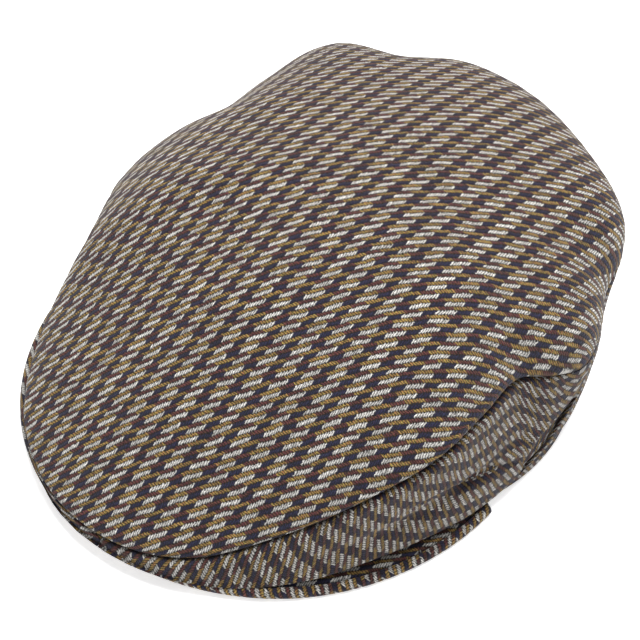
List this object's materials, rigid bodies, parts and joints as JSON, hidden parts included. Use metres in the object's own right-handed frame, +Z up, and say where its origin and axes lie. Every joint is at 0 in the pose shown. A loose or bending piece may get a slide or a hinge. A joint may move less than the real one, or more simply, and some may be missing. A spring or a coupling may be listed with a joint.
{
  "type": "flat cap",
  "caption": "Soft flat cap of checked wool tweed: a full one-piece top falls forward over a short stiff peak, with low sides and a turned hem round an open head hollow.",
  "frame": {"origin": "middle of the footprint, on the surface that the rim stands on", "axes": "-Y towards the peak, +X towards the wearer's left, +Z up through the crown"},
  "size_m": [0.2098, 0.2708, 0.092],
  "materials": {
    "crown_tweed": "soft wool tweed in a small check of cream, navy, gold and rust",
    "side_tweed": "the same tweed, cut so that the check runs steeply down the side",
    "peak_tweed": "the same tweed, drawn smooth over the peak",
    "peak_edge_tweed": "the same tweed under the peak and rolled over its edge"
  },
  "bodies": {
    "root": {"top_panel": "crown_tweed", "side_panel_left": "side_tweed", "side_panel_right": "side_tweed", "peak_top_cover": "peak_tweed", "peak_under_cover": "peak_edge_tweed"}
  },
  "joints": []
}
